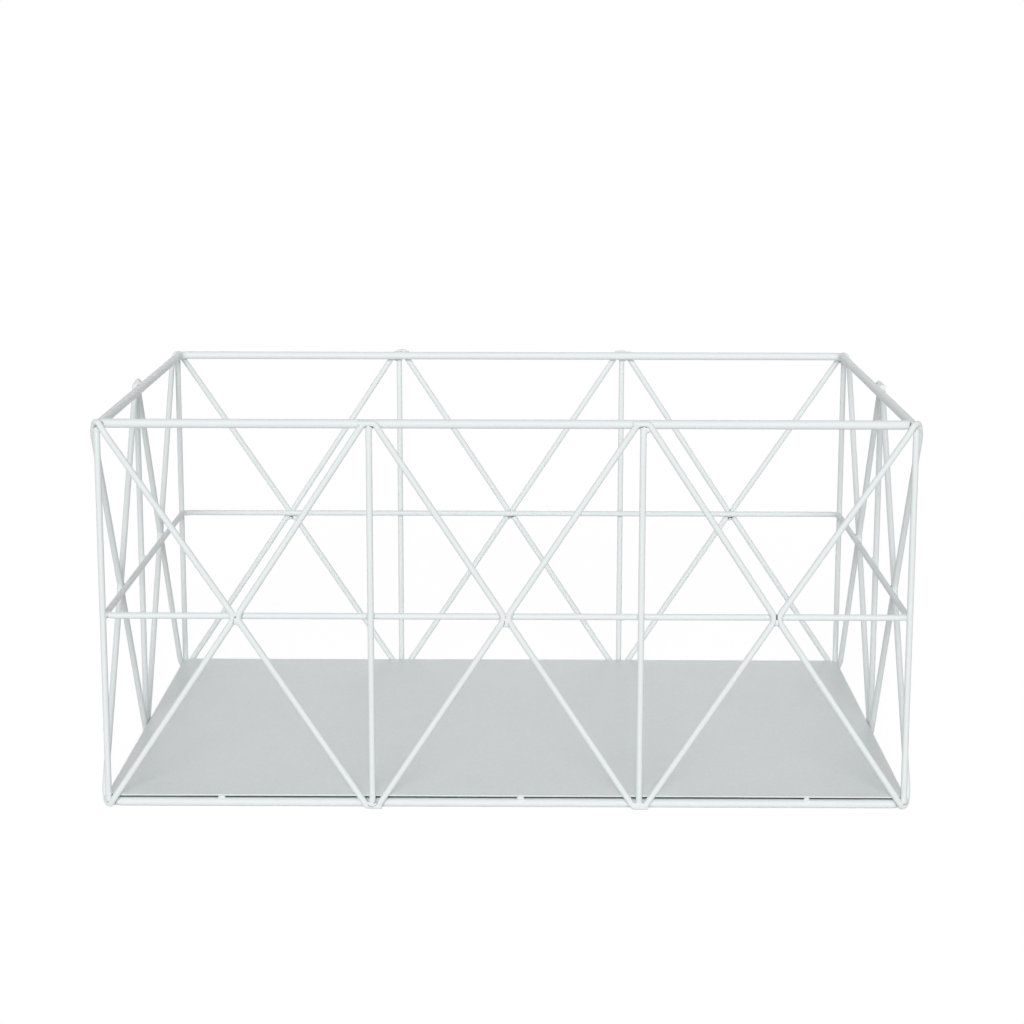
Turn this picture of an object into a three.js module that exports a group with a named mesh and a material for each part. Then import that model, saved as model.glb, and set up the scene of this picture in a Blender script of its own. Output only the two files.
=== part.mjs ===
// Rectangular storage basket: a welded wire frame with a sheet base, open at the top.
// Millimetres, +Z up, X along the length, front towards -Y, origin on the ground under the middle.
import * as THREE from 'three';

// Overall sizes, outside to outside
const basketLength = 360;
const basketDepth = 242.5;
const basketHeight = 174;

// Wire diameters
const rimWire = 4;
const baseWire = 4;
const railWire = 2.8;
const uprightWire = 2.8;
const diamondWire = 2.8;

// Inside radii of the bends
const frameBendInside = 2.5; // corners of the rings, on the heaviest of their wires
const flatBendInside = 0.6; // either side of a diamond's short flat top and bottom
const sideBendInside = 3.4; // left and right points of a diamond

// Flats at the top and bottom of the diamonds that fold round a corner; the others span their upright
const cornerFlat = 0.6;

// Base sheet
const plateThickness = 0.7;
const plateMargin = 0.1; // from the base frame's outer edge in to the sheet's edge
const plateLift = 1.2; // height of the tack welds that hold the sheet off the base frame

// Bays of the walls, each from one upright to the next
const longSideBays = 3;
const shortSideBays = 2;

// Clearance between pieces that are welded together
const weldGap = 0.2;

// Facets: sides of a wire's section, and steps round its bends
const heavyWireSides = 12;
const thinWireSides = 8;
const ringCornerSteps = 4;
const diamondBendSteps = 3;
const wallWrapSteps = 3;

// Finish
const coatColour = 0xf0f3f3;
const coatRoughness = 0.4;

const quarterTurn = Math.PI / 2;
const halfCorner = quarterTurn / 2;
const cornerCount = 4;
const up = new THREE.Vector3(0, 0, 1);

// The rings' outer faces lie in one upright face; the uprights and diamonds stand outside it
const skinThickness = weldGap + Math.max(diamondWire, uprightWire);
const frameCornerRadius = frameBendInside + Math.max(rimWire, baseWire, railWire);
const frameHalfLength = basketLength / 2 - skinThickness;
const frameHalfDepth = basketDepth / 2 - skinThickness;
const straightHalfLength = frameHalfLength - frameCornerRadius;
const straightHalfDepth = frameHalfDepth - frameCornerRadius;
const uprightStandoff = weldGap + uprightWire / 2;
const diamondStandoff = weldGap + diamondWire / 2;
const wrapRadius = frameCornerRadius + diamondStandoff;
const midHeight = basketHeight / 2;

// The direction that faces outwards at an angle from +X, and the way along the wall there
function heading(angle) {
  const out = new THREE.Vector3(Math.cos(angle), Math.sin(angle), 0);
  const along = new THREE.Vector3().crossVectors(up, out);
  return { out, along };
}

// The middle of a corner's bend in plan, counted round from the back right one
function cornerCentre(corner) {
  const { out } = heading(corner * quarterTurn + halfCorner);
  return new THREE.Vector2(
    Math.sign(out.x) * straightHalfLength,
    Math.sign(out.y) * straightHalfDepth,
  );
}

// A closed wire's centre line, as stations that each have a place, a direction and an outward normal
class WireLoop extends THREE.Curve {
  constructor(stations, wireSides) {
    super();
    this.stations = stations;
    this.halfFacet = Math.PI / wireSides;
  }

  getPointAt(share, target = new THREE.Vector3()) {
    const count = this.stations.length;
    return target.copy(this.stations[Math.round(share * count) % count].place);
  }

  // The section is turned by half a facet, so that a flat facet faces outwards
  computeFrenetFrames() {
    const tangents = this.stations.map(({ direction }) => direction);
    const normals = this.stations.map(({ direction, out }) => (
      out.clone().applyAxisAngle(direction, this.halfFacet)
    ));
    const binormals = normals.map((normal, index) => (
      new THREE.Vector3().crossVectors(tangents[index], normal)
    ));
    return { tangents, normals, binormals };
  }
}

// Facets touch the wire's round section from outside
function facetRadius(wire, wireSides) {
  return wire / 2 / Math.cos(Math.PI / wireSides);
}

function wireGeometry(stations, wire, wireSides) {
  const loop = new WireLoop(stations, wireSides);
  const radius = facetRadius(wire, wireSides);
  return new THREE.TubeGeometry(loop, stations.length, radius, wireSides, true);
}

// A level ring of wire inside the frame's face: rim, mid rail and base frame
function ringGeometry(wire, wireSides, height) {
  const bendRadius = frameCornerRadius - wire / 2;
  const stations = [];
  for (let corner = 0; corner < cornerCount; corner += 1) {
    const { x, y } = cornerCentre(corner);
    for (let step = 0; step <= ringCornerSteps; step += 1) {
      const { out, along } = heading((corner + step / ringCornerSteps) * quarterTurn);
      const place = new THREE.Vector3(x, y, height).addScaledVector(out, bendRadius);
      stations.push({ place, direction: along, out });
    }
  }
  return wireGeometry(stations, wire, wireSides);
}

// The base sheet, a rounded rectangle that covers the base frame
function plateGeometry() {
  const radius = frameCornerRadius - plateMargin;
  const outline = new THREE.Shape();
  for (let corner = 0; corner < cornerCount; corner += 1) {
    const { x, y } = cornerCentre(corner);
    const start = corner * quarterTurn;
    outline.absarc(x, y, radius, start, start + quarterTurn);
  }
  return new THREE.ExtrudeGeometry(outline, {
    depth: plateThickness,
    bevelEnabled: false,
    curveSegments: ringCornerSteps,
  });
}

// How far an upright reaches from the middle, up to its diamond's flat or to where the legs close in
function uprightReach(spans, flat) {
  const side = facetRadius(uprightWire, thinWireSides) + weldGap;
  const underLegs = spans.map((span) => {
    const { flatBend, leg } = diamondHalf(span, flat);
    return flatBend.y + (flatBendInside - (side - flatBend.x) * Math.cos(leg)) / Math.sin(leg);
  });
  return Math.min(basketHeight / 2 - diamondWire - weldGap, ...underLegs);
}

// One straight upright, standing between the flats of its diamond
function uprightGeometry(reach) {
  const length = 2 * reach;
  const radius = facetRadius(uprightWire, thinWireSides);
  const halfFacet = Math.PI / thinWireSides;
  const rod = new THREE.CylinderGeometry(radius, radius, length, thinWireSides, 1, false, halfFacet);
  return rod.rotateX(quarterTurn);
}

// One half of a diamond in the unrolled wall, out to the middle of the bay beside its upright:
// the upper of its two flat bends, its side bend, and the angle of the leg that touches both.
// Angles here are those of the wire's outward normal.
function diamondHalf(span, flat) {
  const flatBend = {
    radius: flatBendInside + diamondWire / 2,
    steps: diamondBendSteps,
    x: flat / 2,
  };
  flatBend.y = (basketHeight - diamondWire) / 2 - flatBend.radius;
  const sideBend = {
    radius: sideBendInside + diamondWire / 2,
    steps: 2 * diamondBendSteps,
    y: 0,
  };
  sideBend.x = span - weldGap / 2 - diamondWire / 2 - sideBend.radius;
  const across = sideBend.x - flatBend.x;
  const down = sideBend.y - flatBend.y;
  const lean = Math.acos((flatBend.radius - sideBend.radius) / Math.hypot(across, down));
  return { flatBend, sideBend, leg: Math.atan2(down, across) + lean };
}

// A diamond's bends in order round the loop, from the top towards the bay after the upright
function diamondBends(spanBefore, spanAfter, flat) {
  const after = diamondHalf(spanAfter, flat);
  const before = diamondHalf(spanBefore, flat);
  const turned = (bend, side, level, from, to) => (
    { ...bend, x: side * bend.x, y: level * bend.y, from, to }
  );
  return [
    turned(after.flatBend, 1, 1, quarterTurn, after.leg),
    turned(after.sideBend, 1, 1, after.leg, -after.leg),
    turned(after.flatBend, 1, -1, -after.leg, -quarterTurn),
    turned(before.flatBend, -1, -1, -quarterTurn, before.leg - Math.PI),
    turned(before.sideBend, -1, 1, before.leg - Math.PI, -before.leg - Math.PI),
    turned(before.flatBend, -1, 1, -before.leg - Math.PI, -quarterTurn - Math.PI),
  ];
}

// Points round one bend, each with the wire's direction there
function bendPoints({ x, y, radius, steps, from, to }) {
  const points = [];
  for (let step = 0; step <= steps; step += 1) {
    const angle = THREE.MathUtils.lerp(from, to, step / steps);
    const point = new THREE.Vector2(x + radius * Math.cos(angle), y + radius * Math.sin(angle));
    points.push({ point, direction: new THREE.Vector2(Math.sin(angle), -Math.cos(angle)) });
  }
  return points;
}

// Points on a straight stretch of the unrolled diamond where the wall turns round a corner
function wrapPoints(from, to) {
  const points = [];
  for (let step = -wallWrapSteps; step <= wallWrapSteps; step += 1) {
    const across = wrapRadius * halfCorner * step / wallWrapSteps;
    const share = (across - from.point.x) / (to.point.x - from.point.x);
    if (share > 0 && share < 1) {
      const point = from.point.clone().lerp(to.point, share);
      points.push({ point, direction: from.direction, share });
    }
  }
  return points.sort((first, second) => first.share - second.share);
}

// A point of the unrolled diamond on the real wall, seen from its upright's pivot
function wallStation({ point, direction }, wraps) {
  const turn = wraps ? THREE.MathUtils.clamp(point.x / wrapRadius, -halfCorner, halfCorner) : 0;
  const { out, along } = heading(turn);
  const place = out.clone().multiplyScalar(wraps ? wrapRadius : diamondStandoff);
  place.addScaledVector(along, point.x - turn * wrapRadius);
  place.addScaledVector(up, point.y);
  const heads = along.clone().multiplyScalar(direction.x).addScaledVector(up, direction.y);
  return { place, direction: heads, out };
}

// One bent diamond round its upright, flat or folded round a corner
function diamondGeometry(spanBefore, spanAfter, flat, wraps) {
  const bends = diamondBends(spanBefore, spanAfter, flat).map(bendPoints);
  const points = [];
  bends.forEach((bend, index) => {
    const next = bends[(index + 1) % bends.length];
    points.push(...bend);
    if (wraps) {
      points.push(...wrapPoints(bend[bend.length - 1], next[0]));
    }
  });
  const stations = points.map((station) => wallStation(station, wraps));
  return wireGeometry(stations, diamondWire, thinWireSides);
}

function piece(name, geometry, color) {
  const material = new THREE.MeshStandardMaterial({ color, roughness: coatRoughness, metalness: 0 });
  const mesh = new THREE.Mesh(geometry, material);
  mesh.name = name;
  return mesh;
}

// An upright and its diamond, in a group that stands at the wall and faces outwards.
// On a flat side the pivot is on the frame's face, and at a corner it is the middle of the bend.
function uprightAndDiamond(name, spanBefore, spanAfter, wraps) {
  const flat = wraps ? cornerFlat : uprightWire;
  const reach = uprightReach([spanBefore, spanAfter], flat);
  const upright = piece(`${name}_upright`, uprightGeometry(reach), coatColour);
  upright.position.x = uprightStandoff + (wraps ? frameCornerRadius : 0);
  const bent = diamondGeometry(spanBefore, spanAfter, flat, wraps);
  const diamond = piece(`${name}_diamond`, bent, coatColour);
  const group = new THREE.Group();
  group.add(upright, diamond);
  group.position.z = midHeight;
  return group;
}

// The four walls in order round the basket, each with the corner at its end.
// A wall is shared out evenly, so a part bay makes one more whole one.
const walls = [
  { name: 'right', corner: 'back_right', halfRun: straightHalfDepth, bays: shortSideBays },
  { name: 'back', corner: 'back_left', halfRun: straightHalfLength, bays: longSideBays },
  { name: 'left', corner: 'front_left', halfRun: straightHalfDepth, bays: shortSideBays },
  { name: 'front', corner: 'front_right', halfRun: straightHalfLength, bays: longSideBays },
].map((wall, index) => {
  const halfWall = wall.halfRun + wrapRadius * halfCorner;
  const bays = Math.ceil(wall.bays);
  return { ...wall, bays, facing: index * quarterTurn, halfWall, pitch: 2 * halfWall / bays };
});

const basket = new THREE.Group();
basket.name = 'rectangular_basket';

const rim = piece('rim_wire', ringGeometry(rimWire, heavyWireSides, basketHeight - rimWire / 2), coatColour);
const rail = piece('mid_rail', ringGeometry(railWire, thinWireSides, midHeight), coatColour);
const baseFrame = piece('base_frame', ringGeometry(baseWire, heavyWireSides, baseWire / 2), coatColour);
const plate = piece('base_plate', plateGeometry(), coatColour);
plate.position.z = baseWire + plateLift;
basket.add(rim, rail, baseFrame, plate);

walls.forEach((wall, index) => {
  const { out, along } = heading(wall.facing);
  const faceDistance = Math.abs(out.x) * frameHalfLength + Math.abs(out.y) * frameHalfDepth;
  for (let bay = 1; bay < wall.bays; bay += 1) {
    const name = wall.bays > 2 ? `${wall.name}_${bay}` : wall.name;
    const post = uprightAndDiamond(name, wall.pitch / 2, wall.pitch / 2, false);
    post.position.addScaledVector(out, faceDistance);
    post.position.addScaledVector(along, bay * wall.pitch - wall.halfWall);
    post.rotation.z = wall.facing;
    basket.add(post);
  }
  const next = walls[(index + 1) % walls.length];
  const cornerPost = uprightAndDiamond(`${wall.corner}_corner`, wall.pitch / 2, next.pitch / 2, true);
  cornerPost.position.addScaledVector(out, faceDistance - frameCornerRadius);
  cornerPost.position.addScaledVector(along, wall.halfRun);
  cornerPost.rotation.z = wall.facing + halfCorner;
  basket.add(cornerPost);
});

export default basket;
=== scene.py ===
"""Rectangular wire basket: its coated wires, welds and base sheet, and the studio that it stands in."""
import math
import random
from typing import NamedTuple

import bmesh
import bpy
from mathutils import Matrix, Vector, noise


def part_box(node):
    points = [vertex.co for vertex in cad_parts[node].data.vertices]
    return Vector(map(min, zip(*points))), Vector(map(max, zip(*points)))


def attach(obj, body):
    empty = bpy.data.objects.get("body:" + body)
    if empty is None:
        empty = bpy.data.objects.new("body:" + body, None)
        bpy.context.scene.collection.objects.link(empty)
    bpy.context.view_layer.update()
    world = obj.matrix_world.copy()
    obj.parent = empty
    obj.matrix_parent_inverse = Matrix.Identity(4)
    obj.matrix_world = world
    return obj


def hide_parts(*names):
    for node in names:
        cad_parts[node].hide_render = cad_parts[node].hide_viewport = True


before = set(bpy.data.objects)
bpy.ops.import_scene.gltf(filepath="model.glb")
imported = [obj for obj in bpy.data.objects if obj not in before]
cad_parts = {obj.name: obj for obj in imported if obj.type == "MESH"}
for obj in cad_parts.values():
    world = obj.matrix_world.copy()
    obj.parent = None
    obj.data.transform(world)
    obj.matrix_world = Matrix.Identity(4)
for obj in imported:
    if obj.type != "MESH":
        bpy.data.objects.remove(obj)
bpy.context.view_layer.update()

bl_info = {
    "name": "Wire basket",
    "version": (1, 0, 0),
    "blender": (4, 5, 0),
    "location": "View3D > Sidebar > Basket",
    "description": "Coated wires, welds, base sheet and studio of a rectangular wire basket",
    "category": "Object",
}

BODY = "root"
WIRE_SLOT = "wire_coat"
SHEET_SLOT = "sheet_coat"

MM = 0.001
QUARTER_TURN = math.pi / 2
HALF_CORNER = QUARTER_TURN / 2
UP = Vector((0, 0, 1))
ACROSS = Vector((1, 0, 0))
ALONG = Vector((0, 1, 0))
EDGE_SEGMENTS = 3


# Sizes read from the frame

def extent(node):
    low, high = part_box(node)
    return high - low


def middle(node):
    low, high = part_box(node)
    return (low + high) / 2


POSTS = sorted(node.removesuffix("_upright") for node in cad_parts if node.endswith("_upright"))
RINGS = ("rim_wire", "mid_rail", "base_frame")

# The uprights and diamonds make one skin round the rings; it turns each corner on the wrap radius
SKIN_LENGTH = middle("right_diamond").x
SKIN_DEPTH = middle("back_1_diamond").y
WRAP_RADIUS = (SKIN_DEPTH - middle("back_right_corner_upright").y) / (1 - math.cos(HALF_CORNER))
WIRE_RADIUS = extent("back_1_diamond").y / 2
FLAT_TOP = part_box("back_1_diamond")[1].z - WIRE_RADIUS
MID_HEIGHT = middle("mid_rail").z
UPRIGHT_RADIUS = extent("back_1_upright").x / 2
UPRIGHT_REACH = {post: extent(post + "_upright").z / 2 for post in POSTS}
LONG_REACH = extent("back_1_diamond").x / 2
SHORT_REACH = extent("right_diamond").y / 2
BAY_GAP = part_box("front_2_diamond")[0].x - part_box("front_1_diamond")[1].x
RING_RADIUS = {node: extent(node).z / 2 for node in RINGS}
RING_OUT = {node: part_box(node)[1].y - RING_RADIUS[node] - SKIN_DEPTH for node in RINGS}


# Settings

class BasketWire(bpy.types.PropertyGroup):
    """How the wires are bent and how finely they are meshed"""

    sides: bpy.props.IntProperty(
        name="Sides", description="Facets round a wire's section", default=24, min=8)
    bend_steps: bpy.props.IntProperty(
        name="Bend steps", description="Sections in a quarter turn of a bend", default=12, min=3)
    feed_step: bpy.props.FloatProperty(
        name="Feed step", description="Length of straight wire between two sections",
        default=16 * MM, unit="LENGTH")
    fold_step: bpy.props.FloatProperty(
        name="Fold step", description="Length between two sections where a wire folds round a corner",
        default=0.8 * MM, unit="LENGTH")
    fold_length: bpy.props.FloatProperty(
        name="Fold length", description="Length of a diamond's leg that can lie in a corner's fold",
        default=12 * MM, unit="LENGTH")
    flat_bend_inside: bpy.props.FloatProperty(
        name="Flat bend", description="Inside radius either side of a diamond's short flat",
        default=0.6 * MM, unit="LENGTH")
    corner_flat: bpy.props.FloatProperty(
        name="Corner flat", description="Length of the flats of the diamonds that fold round a corner",
        default=0.6 * MM, unit="LENGTH")
    side_bend_inside: bpy.props.FloatProperty(
        name="Side bend", description="Inside radius of a diamond's left and right points",
        default=3.4 * MM, unit="LENGTH")
    lap: bpy.props.FloatProperty(
        name="Lap", description="Length from an upright's middle to the cut end of a diamond's flat",
        default=5.0 * MM, unit="LENGTH")
    lap_seed: bpy.props.IntProperty(name="Lap seed", description="Start of the laps' chance", default=11)
    press: bpy.props.FloatProperty(
        name="Press", description="How far two diamonds are pressed into each other where they meet",
        default=0.3 * MM, unit="LENGTH")
    end_round: bpy.props.FloatProperty(
        name="End round", description="Rounding of the wires' cut ends",
        default=0.4 * MM, unit="LENGTH")


class BasketWeld(bpy.types.PropertyGroup):
    """How the welds swell over the wires that they join"""

    voxel: bpy.props.FloatProperty(
        name="Grain", description="Size of the cells that weld metal and wires are fused in",
        default=0.26 * MM, unit="LENGTH")
    settle: bpy.props.IntProperty(
        name="Settle", description="Passes of smoothing that round the fused metal off",
        default=5, min=0)
    reach: bpy.props.FloatProperty(
        name="Reach", description="Length of each wire that a weld takes in",
        default=5.0 * MM, unit="LENGTH")
    core: bpy.props.FloatProperty(
        name="Core", description="Share of a wire's radius that is fused into the weld",
        default=1.0, subtype="FACTOR", min=0.5, max=1.0)
    unevenness: bpy.props.FloatProperty(
        name="Unevenness", description="How far one weld differs from the next",
        default=1.0, subtype="FACTOR", min=0.0, max=2.0)
    seed: bpy.props.IntProperty(name="Seed", description="Start of the welds' chance", default=7832)


class BasketSheet(bpy.types.PropertyGroup):
    """The base sheet's edge and flatness"""

    edge_round: bpy.props.FloatProperty(
        name="Edge round", description="Rounding of the sheet's cut edge",
        default=0.14 * MM, unit="LENGTH")
    corner_steps: bpy.props.IntProperty(
        name="Corner steps", description="Facets round each corner of the sheet", default=10, min=2)
    cell: bpy.props.FloatProperty(
        name="Cell", description="Spacing of the lines that let the sheet warp",
        default=10 * MM, unit="LENGTH")
    warp: bpy.props.FloatProperty(
        name="Warp", description="How far the sheet leaves a true plane",
        default=0.15 * MM, unit="LENGTH")
    warp_spacing: bpy.props.FloatProperty(
        name="Warp spacing", description="Length of the sheet's waves", default=90 * MM, unit="LENGTH")
    tack_spacing: bpy.props.FloatProperty(
        name="Tack spacing", description="Distance between the tacks under the sheet's edge",
        default=110 * MM, unit="LENGTH")


class BasketCoat(bpy.types.PropertyGroup):
    """Colour and texture of the powder coat"""

    wire_colour: bpy.props.FloatVectorProperty(
        name="Wire", description="Coat on the wires and welds", default=(0.86, 0.9, 0.9),
        subtype="COLOR", size=3, min=0, max=1)
    wire_shade: bpy.props.FloatVectorProperty(
        name="Wire, thin", description="Coat of the wires where it is thinner",
        default=(0.84, 0.88, 0.885),
        subtype="COLOR", size=3, min=0, max=1)
    sheet_colour: bpy.props.FloatVectorProperty(
        name="Sheet", description="Coat on the base sheet", default=(0.8, 0.845, 0.856),
        subtype="COLOR", size=3, min=0, max=1)
    sheet_shade: bpy.props.FloatVectorProperty(
        name="Sheet, thin", description="Coat of the sheet where it is thinner",
        default=(0.744, 0.786, 0.796),
        subtype="COLOR", size=3, min=0, max=1)
    # Painted shade: near-black colour laid into the welds' tightest creases, less where they face up
    crease_shade_colour: bpy.props.FloatVectorProperty(
        name="Bare", description="Steel in the tight creases that the powder doesn't reach",
        default=(0.1, 0.1, 0.105), subtype="COLOR", size=3, min=0, max=1)
    wire_roughness: bpy.props.FloatProperty(
        name="Wire roughness", description="Mean roughness of the coat on the wires",
        default=0.44, subtype="FACTOR", min=0, max=1)
    sheet_roughness: bpy.props.FloatProperty(
        name="Sheet roughness", description="Mean roughness of the coat on the sheet",
        default=0.36, subtype="FACTOR", min=0, max=1)
    wire_shine: bpy.props.FloatProperty(
        name="Wire shine", description="Strength of the reflections in the coat on the wires",
        default=0.1, subtype="FACTOR", min=0, max=1)
    sheet_shine: bpy.props.FloatProperty(
        name="Sheet shine", description="Strength of the reflections in the coat on the sheet",
        default=0.35, subtype="FACTOR", min=0, max=1)
    drift: bpy.props.FloatProperty(
        name="Drift",
        description="Share of the coat's slow changes of thickness in its fine grain of colour",
        default=0.15, subtype="FACTOR", min=0, max=1)
    peel_size: bpy.props.FloatProperty(
        name="Peel size", description="Width of one dimple of the coat's orange peel",
        default=0.9 * MM, unit="LENGTH")
    peel_depth: bpy.props.FloatProperty(
        name="Peel depth", description="Depth of the orange peel", default=0.012 * MM, unit="LENGTH")
    cloud_size: bpy.props.FloatProperty(
        name="Cloud size", description="Width of the coat's slow changes of thickness",
        default=18 * MM, unit="LENGTH")
    lump_size: bpy.props.FloatProperty(
        name="Lump size", description="Width of the lumps that the coat lies over",
        default=4 * MM, unit="LENGTH")
    dust_spacing: bpy.props.FloatProperty(
        name="Dust spacing", description="Distance between two specks of dust in the coat",
        default=9 * MM, unit="LENGTH")


class BasketStage(bpy.types.PropertyGroup):
    """Floor, light and camera"""

    floor_size: bpy.props.FloatProperty(
        name="Floor", description="Side of the floor", default=12, unit="LENGTH")
    floor_colour: bpy.props.FloatVectorProperty(
        name="Floor colour", description="Colour that the floor throws back on the basket",
        default=(0.8, 0.8, 0.8), subtype="COLOR", size=3, min=0, max=1)
    hidden_lift: bpy.props.FloatProperty(
        name="Hidden lift",
        description="Height of the shaded patch inside the base ring above the floor",
        default=0.02 * MM, unit="LENGTH")
    hidden_steps: bpy.props.IntProperty(
        name="Hidden steps", description="Facets round each corner of the shaded patch",
        default=6, min=2)
    shadow_depth: bpy.props.FloatProperty(
        name="Shadow depth", description="Share of the floor's look that follows the light on it",
        default=0.2, subtype="FACTOR", min=0, max=1)
    ambient: bpy.props.FloatProperty(
        name="Ambient", description="Strength of the even light from all round", default=0.43)
    front_share: bpy.props.FloatProperty(
        name="Front lamp",
        description="Brightness of a white surface that squarely faces the front lamp",
        default=0.53)
    front_height: bpy.props.FloatProperty(
        name="Front height", description="Angle of the front lamp above the floor",
        default=math.radians(20), subtype="ANGLE")
    back_share: bpy.props.FloatProperty(
        name="Back lamp", description="Brightness of a white surface that squarely faces the back lamp",
        default=0.2)
    back_height: bpy.props.FloatProperty(
        name="Back height", description="Angle of the back lamp above the floor",
        default=math.radians(10), subtype="ANGLE")
    lamp_turn: bpy.props.FloatProperty(
        name="Lamp turn", description="Angle of the front lamp to the left of the camera",
        default=math.radians(2), subtype="ANGLE")
    lamp_softness: bpy.props.FloatProperty(
        name="Lamp softness", description="Angle that a lamp spans",
        default=math.radians(24), subtype="ANGLE")
    lens: bpy.props.FloatProperty(
        name="Lens", description="Focal length", default=81.6, subtype="DISTANCE_CAMERA")
    camera_place: bpy.props.FloatVectorProperty(
        name="Camera place", description="Where the camera stands",
        default=(9.52 * MM, -1103.4 * MM, 327.09 * MM), subtype="TRANSLATION", size=3)
    camera_pitch: bpy.props.FloatProperty(
        name="Pitch", description="How far the camera looks down",
        default=math.radians(11.096), subtype="ANGLE")
    camera_yaw: bpy.props.FloatProperty(
        name="Yaw", description="How far the camera turns left",
        default=math.radians(0.402), subtype="ANGLE")
    camera_roll: bpy.props.FloatProperty(
        name="Roll", description="How far the camera leans",
        default=math.radians(0.08), subtype="ANGLE")


# Wires

class BentWire:
    """A round wire that starts as one section and is fed and bent into shape, as on a wire bender."""

    def __init__(self, radius, settings, place, heading, axis):
        self.mesh = bmesh.new()
        self.settings = settings
        self.radius = radius
        self.place = place.copy()
        self.heading = heading.copy()
        self.axis = axis
        facing = heading.to_track_quat("Z", "Y").to_matrix().to_4x4()
        made = bmesh.ops.create_circle(
            self.mesh, segments=settings.sides, radius=radius, matrix=Matrix.Translation(place) @ facing)
        self.start = list(self.mesh.edges)
        self.lead(made["verts"] + self.start)

    def lead(self, geometry):
        """Takes the section that the next step starts from."""
        self.verts = [part for part in geometry if isinstance(part, bmesh.types.BMVert)]
        section = set(self.verts)
        edges = [part for part in geometry if isinstance(part, bmesh.types.BMEdge)]
        self.edges = [edge for edge in edges if section.issuperset(edge.verts)]

    def feed(self, length, step=None):
        steps = max(1, round(length / (step or self.settings.feed_step)))
        for _ in range(steps):
            self.lead(bmesh.ops.extrude_edge_only(self.mesh, edges=self.edges)["geom"])
            bmesh.ops.translate(self.mesh, verts=self.verts, vec=self.heading * (length / steps))
        self.place += self.heading * length

    def bend(self, radius, angle):
        centre = self.place + self.axis.cross(self.heading) * radius
        steps = max(2, round(self.settings.bend_steps * angle / QUARTER_TURN))
        spun = bmesh.ops.spin(
            self.mesh, geom=self.verts + self.edges, cent=centre, axis=self.axis, angle=angle, steps=steps)
        self.lead(spun["geom_last"])
        turn = Matrix.Rotation(angle, 3, self.axis)
        self.place = centre + turn @ (self.place - centre)
        self.heading = turn @ self.heading

    def close(self):
        """Joins the last section to the first."""
        bmesh.ops.remove_doubles(self.mesh, verts=self.mesh.verts, dist=self.radius / self.settings.sides)
        return self.mesh

    def cut_off(self, rounding):
        """Closes both ends and takes the edge off the cuts."""
        ends = self.start + self.edges
        bmesh.ops.holes_fill(self.mesh, edges=ends)
        bmesh.ops.bevel(
            self.mesh, geom=ends, offset=rounding, affect="EDGES", segments=EDGE_SEGMENTS, profile=0.5,
            material=-1)
        return self.mesh


def bend_ring(node, settings):
    """A level ring, from the front left corner round."""
    low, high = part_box(node)
    radius = RING_RADIUS[node]
    half_length = high.x - radius
    half_depth = high.y - radius
    corner = WRAP_RADIUS - (SKIN_LENGTH - half_length)
    start = Vector((corner - half_length, -half_depth, (low.z + high.z) / 2))
    wire = BentWire(radius, settings, start, ACROSS, UP)
    for half_run in (half_length, half_depth, half_length, half_depth):
        wire.feed(2 * (half_run - corner))
        wire.bend(corner, QUARTER_TURN)
    return wire.close()


def bend_diamond(radius, settings, spot):
    """A closed diamond in the unrolled side, round an upright at the origin."""
    before, after = reaches(spot)
    flat = settings.corner_flat if spot.wrap else 2 * UPRIGHT_RADIUS
    flat_bend = settings.flat_bend_inside + WIRE_RADIUS
    side_bend = settings.side_bend_inside + WIRE_RADIUS
    wire = BentWire(radius, settings, Vector((0, flat / 2, FLAT_TOP)), ALONG, -ACROSS)
    for reach in (after, before):
        across = reach + (BAY_GAP + settings.press) / 2 - WIRE_RADIUS - side_bend - flat / 2
        drop = FLAT_TOP - flat_bend - MID_HEIGHT
        leg = math.sqrt(across**2 + drop**2 - (side_bend - flat_bend)**2)
        lean = math.acos((flat_bend - side_bend) / math.hypot(across, drop)) - math.atan2(drop, across)
        wire.bend(flat_bend, QUARTER_TURN - lean)
        wire.feed(settings.fold_length, settings.fold_step)
        wire.feed(leg - settings.fold_length)
        wire.bend(side_bend, 2 * lean)
        wire.feed(leg - settings.fold_length)
        wire.feed(settings.fold_length, settings.fold_step)
        wire.bend(flat_bend, QUARTER_TURN - lean)
        wire.feed(flat, settings.fold_step)
    return wire.close()


# Laps: their least and greatest shares of the set length, and the share of the wire's radius that they keep
TOP_LAPS = (0.85, 1.1)
FOOT_LAPS = (0.65, 0.95)
LAP_SLIMNESS = 0.985


def lap_lengths(settings):
    """How far the flats of each diamond on a flat side run on, at its top and at its foot."""
    chance = random.Random(settings.lap_seed)
    return {
        post: {1: settings.lap * chance.uniform(*TOP_LAPS), -1: settings.lap * chance.uniform(*FOOT_LAPS)}
        for post in POSTS if not post.endswith("_corner")}


def flat_height(level):
    """Height of a diamond's flats, at its top for level 1 and at its foot for level -1."""
    return MID_HEIGHT + level * (FLAT_TOP - MID_HEIGHT)


def lap_end(settings, length, level):
    """The cut end of a diamond's flat, which runs on past the leg that it is welded to."""
    start = UP * flat_height(level)
    end = start - ALONG * level * length
    return cut_rod(WIRE_RADIUS * LAP_SLIMNESS, settings, start, end, settings.end_round, settings.fold_step)


def upright_rod(post, settings, rounding=None):
    """An upright, unrolled at the origin."""
    reach = UP * UPRIGHT_REACH[post]
    middle_height = UP * MID_HEIGHT
    return cut_rod(UPRIGHT_RADIUS, settings, middle_height - reach, middle_height + reach, rounding)


def cut_rod(radius, settings, start, end, rounding=None, step=None):
    """A straight wire between two places."""
    heading = (end - start).normalized()
    wire = BentWire(radius, settings, start, heading, UP)
    wire.feed((end - start).length, step)
    if rounding is None:
        bmesh.ops.holes_fill(wire.mesh, edges=wire.start + wire.edges)
        return wire.mesh
    return wire.cut_off(rounding)


# Places on the sides

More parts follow.
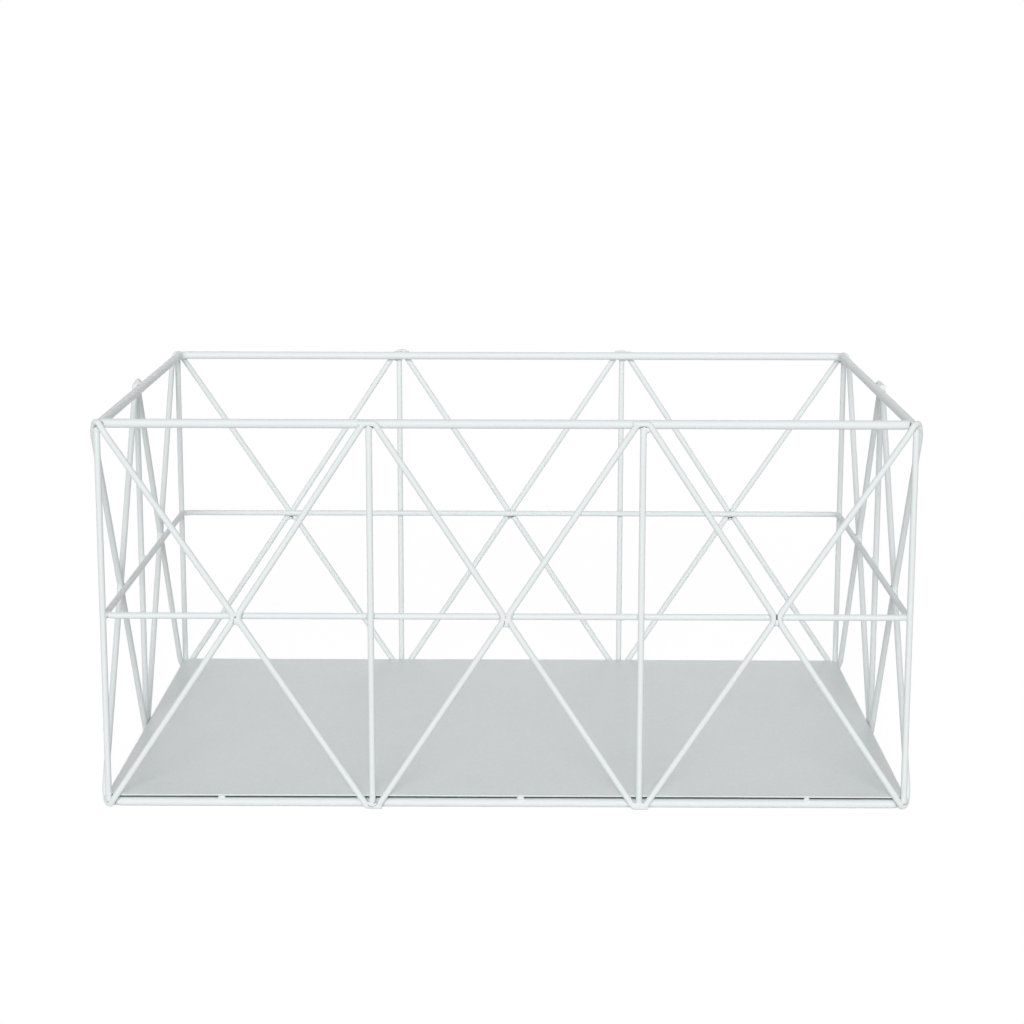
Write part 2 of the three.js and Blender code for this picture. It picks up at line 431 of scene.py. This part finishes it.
class Spot:
    """A place on the basket's side, on a flat stretch or folded round a corner.

    Shapes near it are made unrolled: X is the way out from the skin, Y the way along it, and Z the height.
    """

    def __init__(self, pivot, facing, wrap=0.0):
        self.pivot = pivot
        self.facing = facing
        self.wrap = wrap

    def place(self, unrolled):
        turn = 0.0
        if self.wrap:
            turn = max(-HALF_CORNER, min(HALF_CORNER, unrolled.y / self.wrap))
        angle = self.facing + turn
        out = Vector((math.cos(angle), math.sin(angle), 0))
        ahead = Vector((-math.sin(angle), math.cos(angle), 0))
        level = out * (self.wrap + unrolled.x) + ahead * (unrolled.y - turn * self.wrap)
        return self.pivot + level + UP * unrolled.z

    def set_up(self, mesh):
        """Moves an unrolled mesh to where it stands."""
        for vert in mesh.verts:
            vert.co = self.place(vert.co)
        return mesh


def post_spot(post):
    x, y, _ = middle(post + "_upright")
    if post.endswith("_corner"):
        pivot_x = math.copysign(SKIN_LENGTH - WRAP_RADIUS, x)
        pivot_y = math.copysign(SKIN_DEPTH - WRAP_RADIUS, y)
        return Spot(Vector((pivot_x, pivot_y, 0)), math.atan2(y - pivot_y, x - pivot_x), WRAP_RADIUS)
    if abs(x) > SKIN_LENGTH - WRAP_RADIUS:
        return Spot(Vector((x, y, 0)), math.atan2(0, x))
    return Spot(Vector((x, y, 0)), math.atan2(y, 0))


def faces_end(angle):
    return abs(math.cos(angle)) > abs(math.sin(angle))


def faces_front(angle):
    return math.sin(angle) < -abs(math.cos(angle))


def reaches(spot):
    """How far a diamond reaches before and after its upright, along the sides that it lies on."""
    turn = HALF_CORNER if spot.wrap else 0.0
    return tuple(
        SHORT_REACH if faces_end(spot.facing + side * turn) else LONG_REACH for side in (-1, 1))


def crossing_spots():
    """The middles of the bays, where two diamonds meet."""
    spots = {}
    for post in POSTS:
        spot = post_spot(post)
        if not spot.wrap:
            for side, reach in zip((-1, 1), reaches(spot)):
                pivot = spot.place(Vector((0, side * (reach + BAY_GAP / 2), 0)))
                spots[round(pivot.x / MM), round(pivot.y / MM)] = Spot(pivot, spot.facing)
    return [spots[key] for key in sorted(spots)]


# Welds

class Bead(NamedTuple):
    """A drop of weld metal, in millimetres.

    Its place and its radii are each given out from the skin, along it and up. It follows a share of the way
    that its weld has slid along the skin.
    """

    place: tuple
    radii: tuple
    follows: float = 1.0

    def grown(self, growth, amount):
        """This bead with an amount of another one's place and radii added."""
        place = Vector(self.place) + Vector(growth.place) * amount
        radii = Vector(self.radii) + Vector(growth.radii) * amount
        return Bead(tuple(place), tuple(radii), self.follows)


# Beads at an upright's end: up is the way that the end points
JOINT_BEAD = Bead((0.1, 0, -0.05), (1.35, 1.25, 1.1))
GROOVE_BEAD = Bead((0, 0, 0.45), (1.0, 2.0, 0.7))
RUN_BEAD = Bead((0.15, 0.9, -0.2), (1.0, 0.5, 0.7))
RUN_GROWTH = Bead((0, 0.5, -0.45), (0.15, 0.85, 0.7))
HUMP_BEAD = Bead((0, 0, 0.9), (1.5, 3.5, -0.6))
HUMP_GROWTH = Bead((0, 0, 0), (0, 0, 2.9))
SKIRT_BEAD = Bead((0, 0, 0.6), (1.4, 4.4, 1.1), follows=0.6)
FOOT_BEAD = Bead((0.3, 0, 0.9), (1.3, 2.6, 1.5), follows=0.2)
TOE_BEAD = Bead((0.15, 1.6, 0.8), (1.25, 1.2, 1.1), follows=0.3)
CORNER_BEAD = Bead((-0.1, 0, -1.5), (1.3, 1.6, 2.0))

# Beads where two diamonds meet, from the one behind the rail down to the two drips under the pool
ROOT_BEAD = Bead((0, 0, -1.1), (0.9, 1.9, 1.0), follows=0.0)
NECK_BEAD = Bead((0.1, 0, -0.9), (1.3, 1.3, 1.2), follows=0.5)
BRIDGE_BEAD = Bead((0.2, 0, -0.45), (1.25, 1.4, 1.3), follows=0.75)
POOL_BEAD = Bead((0.15, 0, 0), (1.25, 1.7, 1.3))
DRIP_BEADS = (
    Bead((0.15, 1.0, -0.9), (0.9, 0.65, 0.85)),
    Bead((0.15, -0.9, -0.6), (0.9, 0.55, 0.75)),
)

# Beads behind a crossing of upright and rail, and under the sheet's edge
RAIL_BEAD = Bead((0, 0, 0), (0.9, 1.7, 1.7))
TACK_BEAD = Bead((-0.75, 0, -0.25), (0.8, 0, 1.0))
TACK_GROWTH = Bead((0, 0, 0), (0, 1, 0))
TAIL_BEAD = Bead((-0.7, 0, -0.25), (0.8, 0, 0.9))
TAIL_GROWTH = Bead((0, 0.4, 0), (0, 0.6, 0))

# How far chance moves the beads, how much it grows them, and the pool's mean depth, in millimetres
JOINT_SHIFT = 0.35
RUN_DROPS = (0.1, 1.5)
HUMP_RISES = (0.4, 0.9)
HUMP_SLIDE = 2.0
CROSSING_LEAN = 0.5
POOL_DEPTH = 2.2
POOL_CHANGES = (-0.4, 0.7)
RAIL_SHIFT = 0.3
TACK_LENGTHS = (1.2, 2.6)

# Share of the tacks' spacing that chance moves them by
TACK_SHIFT = 0.15

# Shares of a weld's reach: the ring that it takes in, and the diamonds at a crossing and how far down
RING_SHARE = 1.3
CROSSING_SHARE = 0.9
CROSSING_DROP = 0.3


def either_way(chance, most):
    return chance.uniform(-most, most)


def take_in(mesh, other):
    """Adds another bmesh's shapes to a mesh and frees it."""
    data = bpy.data.meshes.new("taken_in")
    other.to_mesh(data)
    other.free()
    mesh.from_mesh(data)
    bpy.data.meshes.remove(data)


def add_bead(mesh, bead, centre, slide=0.0, level=1, side=1):
    """One drop of weld metal, by the centre of a weld that has slid some millimetres along the skin."""
    out, along, up = bead.place
    place = centre + Vector((out, side * along + bead.follows * slide, level * up)) * MM
    shape = Matrix.Translation(place) @ Matrix.Diagonal((*(Vector(bead.radii) * MM), 1))
    bmesh.ops.create_icosphere(mesh, subdivisions=3, radius=1, matrix=shape)


def keep_near(mesh, place, reach):
    """Cuts away what lies further from a place than the reach, and closes the cuts."""
    for direction in (ALONG, -ALONG, UP, -UP):
        geometry = list(mesh.verts) + list(mesh.edges) + list(mesh.faces)
        bmesh.ops.bisect_plane(
            mesh, geom=geometry, plane_co=place + direction * reach, plane_no=direction, clear_outer=True)
    bmesh.ops.holes_fill(mesh, edges=mesh.edges)
    return mesh


def fuse(mesh, settings):
    """Melts overlapping shapes into one skin and lets it settle."""
    data = bpy.data.meshes.new("melt")
    mesh.to_mesh(data)
    mesh.free()
    melt = bpy.data.objects.new("melt", data)
    bpy.context.scene.collection.objects.link(melt)
    skin = melt.modifiers.new("Skin", "REMESH")
    skin.mode = "VOXEL"
    skin.voxel_size = settings.voxel
    soft = melt.modifiers.new("Settle", "SMOOTH")
    soft.factor = 0.5
    soft.iterations = settings.settle
    fused = bmesh.new()
    fused.from_object(melt, bpy.context.evaluated_depsgraph_get())
    bpy.data.objects.remove(melt)
    bpy.data.meshes.remove(data)
    # Painted shade mask: how deep each point sits in a crease, less where it faces up, for the weld coat to
    # darken
    crease = fused.verts.layers.float.new("crease")
    for vert in fused.verts:
        around = sum((edge.other_vert(vert).co for edge in vert.link_edges), Vector()) / len(vert.link_edges)
        sheltered = 1 - max(0.0, vert.normal.z)
        vert[crease] = sheltered * (around - vert.co).dot(vert.normal) / settings.voxel
    return fused


def ring_rod(node, wire, weld):
    """The stretch of a ring that passes behind a spot, unrolled."""
    place = Vector((RING_OUT[node], 0, middle(node).z))
    reach = ALONG * weld.reach * RING_SHARE
    return cut_rod(RING_RADIUS[node] * weld.core, wire, place - reach, place + reach, step=wire.fold_step)


def end_weld(post, level, laps, wire, weld, chance):
    """The weld where a diamond's flat meets an upright's end and the rim or the base ring."""
    spot = post_spot(post)
    top = level > 0
    ring = "rim_wire" if top else "base_frame"
    end = UP * (MID_HEIGHT + level * UPRIGHT_REACH[post])
    flat = UP * flat_height(level)
    groove = ACROSS * RING_OUT[ring] / 2
    mesh = bmesh.new()
    take_in(mesh, keep_near(bend_diamond(WIRE_RADIUS * weld.core, wire, spot), flat, weld.reach))
    if post in laps:
        take_in(mesh, lap_end(wire, laps[post][level], level))
    take_in(mesh, ring_rod(ring, wire, weld))
    take_in(mesh, keep_near(upright_rod(post, wire), end, weld.reach))
    shift = either_way(chance, JOINT_SHIFT) * weld.unevenness
    drop = chance.uniform(*RUN_DROPS) * weld.unevenness
    side = chance.choice((-1, 1))
    rise = chance.uniform(*HUMP_RISES) * weld.unevenness
    slide = either_way(chance, HUMP_SLIDE) * weld.unevenness
    add_bead(mesh, JOINT_BEAD, end, shift, level)
    add_bead(mesh, GROOVE_BEAD, flat + groove, shift, level)
    if top:
        add_bead(mesh, RUN_BEAD.grown(RUN_GROWTH, drop), end, side=side)
    else:
        add_bead(mesh, FOOT_BEAD, end, slide, level)
        for way in (-1, 1):
            add_bead(mesh, TOE_BEAD, end, slide, level, way)
    if top and not spot.wrap and not faces_front(spot.facing):
        add_bead(mesh, HUMP_BEAD.grown(HUMP_GROWTH, rise), flat + groove / 2, slide)
        add_bead(mesh, SKIRT_BEAD, flat + groove / 2, slide)
    if spot.wrap:
        add_bead(mesh, CORNER_BEAD, end, level=level)
    return spot.set_up(mesh)


def crossing_weld(spot, wire, weld, chance):
    """The weld where two diamonds meet over the rail, with its pool in the lower crotch."""
    apart = reaches(spot)[0] + BAY_GAP / 2
    centre = UP * MID_HEIGHT
    behind = ACROSS * RING_OUT["mid_rail"] / 2
    kept = centre - UP * weld.reach * CROSSING_DROP
    mesh = bmesh.new()
    for side in (-1, 1):
        diamond = bend_diamond(WIRE_RADIUS * weld.core, wire, spot)
        bmesh.ops.translate(diamond, verts=diamond.verts, vec=ALONG * side * apart)
        take_in(mesh, keep_near(diamond, kept, weld.reach * CROSSING_SHARE))
    take_in(mesh, ring_rod("mid_rail", wire, weld))
    lean = either_way(chance, CROSSING_LEAN) * weld.unevenness
    depth = POOL_DEPTH + chance.uniform(*POOL_CHANGES) * weld.unevenness
    crotch = centre - UP * depth * MM
    add_bead(mesh, ROOT_BEAD, centre + behind, lean)
    add_bead(mesh, NECK_BEAD, centre, lean)
    add_bead(mesh, BRIDGE_BEAD, (centre + crotch) / 2, lean)
    for bead in (POOL_BEAD, *DRIP_BEADS):
        add_bead(mesh, bead, crotch, lean)
    return spot.set_up(mesh)


def rail_weld(post, wire, weld, chance):
    """The small weld where an upright crosses the rail."""
    centre = UP * MID_HEIGHT
    behind = ACROSS * RING_OUT["mid_rail"] / 2
    mesh = bmesh.new()
    take_in(mesh, ring_rod("mid_rail", wire, weld))
    take_in(mesh, keep_near(upright_rod(post, wire), centre, weld.reach))
    shift = either_way(chance, RAIL_SHIFT) * weld.unevenness
    add_bead(mesh, RAIL_BEAD, centre + behind - UP * shift * MM, shift)
    return post_spot(post).set_up(mesh)


# Sheet

def cut_outline(half, height, steps):
    """A level rectangle with corners round the same middles as the rings' bends."""
    mesh = bmesh.new()
    shape = Matrix.Translation(UP * height) @ Matrix.Diagonal((half.x, half.y, 1, 1))
    bmesh.ops.create_grid(mesh, x_segments=1, y_segments=1, size=1, matrix=shape)
    bmesh.ops.bevel(
        mesh, geom=list(mesh.verts), offset=WRAP_RADIUS - (SKIN_LENGTH - half.x), affect="VERTICES",
        segments=steps, profile=0.5, material=-1)
    return mesh


def cut_sheet(settings):
    """The base sheet, cut with round corners, warped a little and eased along its edge."""
    low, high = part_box("base_plate")
    mesh = cut_outline(high, low.z, settings.corner_steps)
    for direction, half in ((ACROSS, high.x), (ALONG, high.y)):
        lines = round(2 * half / settings.cell)
        for line in range(1, lines):
            geometry = list(mesh.verts) + list(mesh.edges) + list(mesh.faces)
            place = direction * (2 * half * line / lines - half)
            bmesh.ops.bisect_plane(mesh, geom=geometry, plane_co=place, plane_no=direction)
    grown = bmesh.ops.extrude_face_region(mesh, geom=list(mesh.faces), use_keep_orig=True)["geom"]
    top = [part for part in grown if isinstance(part, bmesh.types.BMVert)]
    bmesh.ops.translate(mesh, verts=top, vec=UP * (high.z - low.z))
    bmesh.ops.recalc_face_normals(mesh, faces=mesh.faces)
    rim = [edge for edge in mesh.edges if edge.calc_face_angle(0) > HALF_CORNER]
    rim = [edge for edge in rim if abs(edge.verts[0].co.z - edge.verts[1].co.z) < settings.edge_round]
    bmesh.ops.bevel(
        mesh, geom=rim, offset=settings.edge_round, affect="EDGES", segments=EDGE_SEGMENTS, profile=0.5,
        material=-1)
    for vert in mesh.verts:
        wave = noise.noise(Vector((vert.co.x, vert.co.y, 0)) / settings.warp_spacing)
        vert.co.z += settings.warp * wave
    return mesh


def tack_welds(sheet, chance):
    """Short beads under the sheet's edge that hold it to the base ring."""
    low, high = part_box("base_plate")
    seam = UP * (low.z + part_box("base_frame")[1].z) / 2
    mesh = bmesh.new()
    for half, spread, facing in (
        (high.x, high.y, 0.0), (high.y, high.x, QUARTER_TURN),
        (high.x, high.y, math.pi), (high.y, high.x, -QUARTER_TURN),
    ):
        count = round(2 * spread / sheet.tack_spacing)
        for index in range(count):
            along = 2 * spread * (index + 0.5) / count - spread
            along += either_way(chance, TACK_SHIFT) * sheet.tack_spacing
            length = chance.uniform(*TACK_LENGTHS)
            tack = bmesh.new()
            add_bead(tack, TACK_BEAD.grown(TACK_GROWTH, length), seam)
            add_bead(tack, TAIL_BEAD.grown(TAIL_GROWTH, length), seam)
            out = Vector((math.cos(facing), math.sin(facing), 0))
            ahead = Vector((-math.sin(facing), math.cos(facing), 0))
            take_in(mesh, Spot(out * half + ahead * along, facing).set_up(tack))
    return mesh


# Finishes

class Signal:
    """An output socket with arithmetic that adds Math nodes."""

    def __init__(self, nodes, socket):
        self.nodes = nodes
        self.socket = socket

    def math(self, operation, first, second):
        return self.nodes.add("ShaderNodeMath", {"operation": operation}, {0: first, 1: second})

    def __add__(self, other):
        return self.math("ADD", self, other)

    def __radd__(self, other):
        return self.math("ADD", other, self)

    def __sub__(self, other):
        return self.math("SUBTRACT", self, other)

    def __rsub__(self, other):
        return self.math("SUBTRACT", other, self)

    def __mul__(self, other):
        return self.math("MULTIPLY", self, other)

    def __rmul__(self, other):
        return self.math("MULTIPLY", other, self)


class Nodes:
    """The node tree of a material or of the world, emptied first."""

    def __init__(self, owner):
        owner.use_nodes = True
        self.tree = owner.node_tree
        self.tree.nodes.clear()

    def add(self, kind, settings=None, sockets=None, output=0):
        """Adds one node: its settings first, then the values or links of its sockets."""
        node = self.tree.nodes.new(kind)
        for name, value in (settings or {}).items():
            if name == "stops":
                for stop, (position, shade) in zip(node.color_ramp.elements, value):
                    stop.position = position
                    stop.color = (shade, shade, shade, 1)
            else:
                setattr(node, name, value)
        for name, value in (sockets or {}).items():
            if isinstance(value, Signal):
                self.tree.links.new(value.socket, node.inputs[name])
            else:
                node.inputs[name].default_value = value
        if not node.outputs:
            return None
        return Signal(self, node.outputs[output])


def opaque(colour):
    return (*colour, 1)


# Colour sockets of a Mix node: the two that go in and the one that comes out
MIX_FIRST, MIX_SECOND, MIX_RESULT = 6, 7, 2

# Limits between which the coat turns thin, and between which a crease is darkened with painted shade
THIN_LIMITS = (0.35, 0.7)
CREASE_SHADE_LIMITS = (0.12, 0.18)
CREASE_SHADE_LUMPS = 0.2

# Specks of dust: where one ends, and how far it is tinted, darkened and raised
SPECK_STOPS = ((0.02, 1.0), (0.045, 0.0))
SPECK_TINT = 0.35
SPECK_SHADE = 0.55
SPECK_RISE = 0.5

# What the patterns add to the coat's roughness
PATTERN_MEAN = 0.5
GLOSS_START = -0.06
GLOSS_CLOUD = 0.1
GLOSS_PEEL = 0.04


def noise_pattern(nodes, place, size, detail, roughness):
    return nodes.add("ShaderNodeTexNoise", sockets={
        "Vector": place, "Scale": 1 / size, "Detail": detail, "Roughness": roughness})


def share_between(nodes, value, limits):
    """Zero up to the first limit, one from the second on, and even in between."""
    return nodes.add("ShaderNodeMapRange", {"clamp": True}, {
        "Value": value, "From Min": limits[0], "From Max": limits[1], "To Min": 0.0, "To Max": 1.0})


def mix_colours(nodes, share, first, second):
    return nodes.add("ShaderNodeMix", {"data_type": "RGBA"}, {
        "Factor": share, MIX_FIRST: first, MIX_SECOND: second}, output=MIX_RESULT)


def coat_finish(name, coat, colours, roughness, shine, peel_share, lump_share, creased=False):
    """A sprayed coat with orange peel, slow changes of thickness and a few specks of dust.

    Where it is creased, the tightest creases are darkened almost to black with painted shade, less where
    they face up.
    """
    full, thin = colours
    material = bpy.data.materials.new(name)
    nodes = Nodes(material)
    place = nodes.add("ShaderNodeTexCoord", output="Object")
    peel = noise_pattern(nodes, place, coat.peel_size, detail=2.0, roughness=0.5)
    cloud = noise_pattern(nodes, place, coat.cloud_size, detail=3.0, roughness=0.55)
    lump = noise_pattern(nodes, place, coat.lump_size, detail=1.0, roughness=0.4)
    dust = nodes.add("ShaderNodeTexVoronoi", {"feature": "F1"}, {
        "Vector": place, "Scale": 1 / coat.dust_spacing, "Randomness": 1.0})
    speck = nodes.add("ShaderNodeValToRGB", {"stops": SPECK_STOPS}, {"Fac": dust})
    thinness = share_between(nodes, peel + (cloud - PATTERN_MEAN) * coat.drift, THIN_LIMITS)
    colour = mix_colours(nodes, thinness, opaque(full), opaque(thin))
    colour = mix_colours(nodes, speck * SPECK_TINT, colour, opaque([SPECK_SHADE * part for part in thin]))
    if creased:
        # Painted shade: the crease mask, broken up by the lumps, darkens the tightest creases towards near
        # black
        crease = nodes.add("ShaderNodeAttribute", {"attribute_name": "crease"}, output="Fac")
        painted_crease_shade = share_between(nodes, crease + lump * CREASE_SHADE_LUMPS, CREASE_SHADE_LIMITS)
        colour = mix_colours(nodes, painted_crease_shade, colour, opaque(coat.crease_shade_colour))
    height = peel * peel_share + lump * lump_share + speck * SPECK_RISE
    normal = nodes.add("ShaderNodeBump", sockets={
        "Strength": 1.0, "Distance": coat.peel_depth, "Height": height})
    gloss = roughness + GLOSS_START + cloud * GLOSS_CLOUD + peel * GLOSS_PEEL
    shader = nodes.add("ShaderNodeBsdfPrincipled", sockets={
        "Base Color": colour, "Roughness": gloss, "Normal": normal, "Specular IOR Level": shine})
    nodes.add("ShaderNodeOutputMaterial", sockets={"Surface": shader})
    return material


def finish(name):
    """The named finish, made on first use."""
    if name in bpy.data.materials:
        return bpy.data.materials[name]
    coat = bpy.context.scene.basket_coat
    wire = (coat, (coat.wire_colour, coat.wire_shade), coat.wire_roughness, coat.wire_shine)
    sheet = (coat, (coat.sheet_colour, coat.sheet_shade), coat.sheet_roughness, coat.sheet_shine)
    if name == "white_wire_coat":
        return coat_finish(name, *wire, peel_share=0.6, lump_share=0.6)
    # The weld coat carries the painted shade in its creases
    if name == "white_weld_coat":
        return coat_finish(name, *wire, peel_share=0.8, lump_share=2.0, creased=True)
    if name == "white_sheet_coat":
        return coat_finish(name, *sheet, peel_share=0.7, lump_share=0.3)
    raise ValueError(f"no finish is called {name}")


def finish_piece(mesh, name, finish_name, slot, *nodes):
    """Turns a bmesh into a smooth, coated piece of the basket."""
    bmesh.ops.recalc_face_normals(mesh, faces=mesh.faces)
    for face in mesh.faces:
        face.smooth = True
    data = bpy.data.meshes.new(name)
    mesh.to_mesh(data)
    mesh.free()
    data.materials.append(finish(finish_name))
    piece = bpy.data.objects.new(name, data)
    bpy.context.scene.collection.objects.link(piece)
    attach(piece, BODY)
    if nodes:
        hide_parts(*nodes)
    return piece


# Operators

class BASKET_OT_rings(bpy.types.Operator):
    """Bend the rim, the mid rail and the base ring"""

    bl_idname = "basket.rings"
    bl_label = "Rings"

    def execute(self, context):
        for node in RINGS:
            mesh = bend_ring(node, context.scene.basket_wire)
            finish_piece(mesh, node + "_coated", "white_wire_coat", WIRE_SLOT, node)
        return {"FINISHED"}


class BASKET_OT_uprights(bpy.types.Operator):
    """Cut the uprights and stand them round the sides"""

    bl_idname = "basket.uprights"
    bl_label = "Uprights"

    def execute(self, context):
        wire = context.scene.basket_wire
        for post in POSTS:
            mesh = upright_rod(post, wire, wire.end_round)
            node = post + "_upright"
            finish_piece(post_spot(post).set_up(mesh), node + "_coated", "white_wire_coat", WIRE_SLOT, node)
        return {"FINISHED"}


class BASKET_OT_diamonds(bpy.types.Operator):
    """Bend the diamonds and fold the four that go round a corner"""

    bl_idname = "basket.diamonds"
    bl_label = "Diamonds"

    def execute(self, context):
        wire = context.scene.basket_wire
        laps = lap_lengths(wire)
        for post in POSTS:
            spot = post_spot(post)
            mesh = bend_diamond(WIRE_RADIUS, wire, spot)
            for level, length in laps.get(post, {}).items():
                take_in(mesh, lap_end(wire, length, level))
            node = post + "_diamond"
            finish_piece(spot.set_up(mesh), node + "_coated", "white_wire_coat", WIRE_SLOT, node)
        return {"FINISHED"}


class BASKET_OT_sheet(bpy.types.Operator):
    """Cut the base sheet"""

    bl_idname = "basket.sheet"
    bl_label = "Base sheet"

    def execute(self, context):
        mesh = cut_sheet(context.scene.basket_sheet)
        piece = finish_piece(mesh, "base_plate_coated", "white_sheet_coat", SHEET_SLOT, "base_plate")
        shading = piece.modifiers.new("Flat faces lead", "WEIGHTED_NORMAL")
        shading.keep_sharp = True
        return {"FINISHED"}


class BASKET_OT_welds(bpy.types.Operator):
    """Weld the wires together and tack the sheet down"""

    bl_idname = "basket.welds"
    bl_label = "Welds"

    def execute(self, context):
        scene = context.scene
        wire, weld = scene.basket_wire, scene.basket_weld
        chance = random.Random(weld.seed)
        laps = lap_lengths(wire)
        groups = {
            "rim_welds": (end_weld(post, 1, laps, wire, weld, chance) for post in POSTS),
            "base_welds": (end_weld(post, -1, laps, wire, weld, chance) for post in POSTS),
            "crossing_welds": (crossing_weld(spot, wire, weld, chance) for spot in crossing_spots()),
            "rail_welds": (rail_weld(post, wire, weld, chance) for post in POSTS),
        }
        for name, welds in groups.items():
            mesh = bmesh.new()
            for made in welds:
                take_in(mesh, made)
            finish_piece(fuse(mesh, weld), name, "white_weld_coat", WIRE_SLOT)
        mesh = tack_welds(scene.basket_sheet, chance)
        finish_piece(fuse(mesh, weld), "sheet_tacks", "white_weld_coat", WIRE_SLOT)
        return {"FINISHED"}


class BASKET_OT_stage(bpy.types.Operator):
    """Lay the floor, hang the lamps and place the camera"""

    bl_idname = "basket.stage"
    bl_label = "Stage"

    def execute(self, context):
        stage = context.scene.basket_stage
        lay_floor(stage)
        lay_hidden_floor(stage)
        light_room(context.scene, stage)
        hang_lamp(stage, "front_lamp", stage.front_share, stage.front_height, -stage.lamp_turn, True)
        hang_lamp(stage, "back_lamp", stage.back_share, stage.back_height, math.pi, False)
        place_camera(context.scene, stage)
        context.scene.view_settings.view_transform = "Standard"
        return {"FINISHED"}


# Stage

def seen_directly(nodes):
    """One where the eye, a mirror or glass looks at a surface, and zero where light only bounces off it."""
    camera = nodes.add("ShaderNodeLightPath", output="Is Camera Ray")
    glossy = nodes.add("ShaderNodeLightPath", output="Is Glossy Ray")
    through = nodes.add("ShaderNodeLightPath", output="Is Transmission Ray")
    return camera + glossy + through


def lay_floor(stage):
    """A pale floor that looks white where it is lit and keeps the basket's shadow."""
    mesh = bmesh.new()
    bmesh.ops.create_grid(mesh, x_segments=1, y_segments=1, size=stage.floor_size / 2)
    material = bpy.data.materials.new("pale_floor")
    nodes = Nodes(material)
    bounce = nodes.add("ShaderNodeBsdfDiffuse", sockets={"Color": opaque(stage.floor_colour)})
    depth = stage.shadow_depth
    light = stage.ambient + stage.front_share * math.sin(stage.front_height)
    light += stage.back_share * math.sin(stage.back_height)
    shadow = nodes.add("ShaderNodeBsdfDiffuse", sockets={"Color": (depth, depth, depth, 1)})
    glow = nodes.add("ShaderNodeEmission", sockets={"Strength": 1 - depth * light})
    shown = nodes.add("ShaderNodeAddShader", sockets={0: shadow, 1: glow})
    surface = nodes.add("ShaderNodeMixShader", sockets={"Fac": seen_directly(nodes), 1: bounce, 2: shown})
    nodes.add("ShaderNodeOutputMaterial", sockets={"Surface": surface})
    set_stage(mesh, "floor", material)


def lay_hidden_floor(stage):
    """The floor inside the base ring, which shows only the light that reaches it."""
    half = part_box("base_frame")[1] - Vector((1, 1, 1)) * RING_RADIUS["base_frame"]
    material = bpy.data.materials.new("hidden_floor")
    nodes = Nodes(material)
    surface = nodes.add("ShaderNodeBsdfDiffuse", sockets={"Color": opaque(stage.floor_colour)})
    nodes.add("ShaderNodeOutputMaterial", sockets={"Surface": surface})
    set_stage(cut_outline(half, stage.hidden_lift, stage.hidden_steps), "hidden_floor", material)


def set_stage(mesh, name, material):
    """Turns a bmesh into a piece of the studio."""
    data = bpy.data.meshes.new(name)
    mesh.to_mesh(data)
    mesh.free()
    data.materials.append(material)
    piece = bpy.data.objects.new(name, data)
    bpy.context.scene.collection.objects.link(piece)


def light_room(scene, stage):
    """Even light from all round, in front of a white background."""
    scene.world = bpy.data.worlds.new("studio")
    nodes = Nodes(scene.world)
    even = nodes.add("ShaderNodeBackground", sockets={"Color": (1, 1, 1, 1), "Strength": stage.ambient})
    white = nodes.add("ShaderNodeBackground", sockets={"Color": (1, 1, 1, 1), "Strength": 1.0})
    surface = nodes.add("ShaderNodeMixShader", sockets={"Fac": seen_directly(nodes), 1: even, 2: white})
    nodes.add("ShaderNodeOutputWorld", sockets={"Surface": surface})


def hang_lamp(stage, name, share, height, turn, glare):
    """One broad soft lamp, so far off that it lights the whole floor alike."""
    lamp = bpy.data.lights.new(name, "SUN")
    lamp.energy = math.pi * share
    lamp.angle = stage.lamp_softness
    hung = bpy.data.objects.new(name, lamp)
    hung.rotation_euler = (QUARTER_TURN - height, 0, turn)
    hung.visible_glossy = glare
    bpy.context.scene.collection.objects.link(hung)


def place_camera(scene, stage):
    camera = bpy.data.objects.new("camera", bpy.data.cameras.new("camera"))
    camera.data.lens = stage.lens
    turn = Matrix.Rotation(stage.camera_yaw, 4, "Z")
    turn @= Matrix.Rotation(QUARTER_TURN - stage.camera_pitch, 4, "X")
    turn @= Matrix.Rotation(stage.camera_roll, 4, "Z")
    camera.matrix_world = Matrix.Translation(stage.camera_place) @ turn
    scene.collection.objects.link(camera)
    scene.camera = camera


# Add-on

SETTINGS = {
    "basket_wire": BasketWire,
    "basket_weld": BasketWeld,
    "basket_sheet": BasketSheet,
    "basket_coat": BasketCoat,
    "basket_stage": BasketStage,
}
OPERATORS = (
    BASKET_OT_rings, BASKET_OT_uprights, BASKET_OT_diamonds,
    BASKET_OT_sheet, BASKET_OT_welds, BASKET_OT_stage,
)


class BASKET_PT_panel(bpy.types.Panel):
    """Lists the basket's steps and settings"""

    bl_idname = "BASKET_PT_panel"
    bl_label = "Wire basket"
    bl_space_type = "VIEW_3D"
    bl_region_type = "UI"
    bl_category = "Basket"

    def draw(self, context):
        for operator in OPERATORS:
            self.layout.operator(operator.bl_idname)
        for name, group in SETTINGS.items():
            box = self.layout.box()
            for setting in group.__annotations__:
                box.prop(getattr(context.scene, name), setting)


def register():
    for group in (*SETTINGS.values(), *OPERATORS, BASKET_PT_panel):
        bpy.utils.register_class(group)
    for name, group in SETTINGS.items():
        setattr(bpy.types.Scene, name, bpy.props.PointerProperty(type=group))


def unregister():
    for name in SETTINGS:
        delattr(bpy.types.Scene, name)
    for group in reversed((*SETTINGS.values(), *OPERATORS, BASKET_PT_panel)):
        bpy.utils.unregister_class(group)


def main():
    register()
    bpy.ops.basket.rings()
    bpy.ops.basket.uprights()
    bpy.ops.basket.diamonds()
    bpy.ops.basket.sheet()
    bpy.ops.basket.welds()
    bpy.ops.basket.stage()


if __name__ == "__main__":
    main()
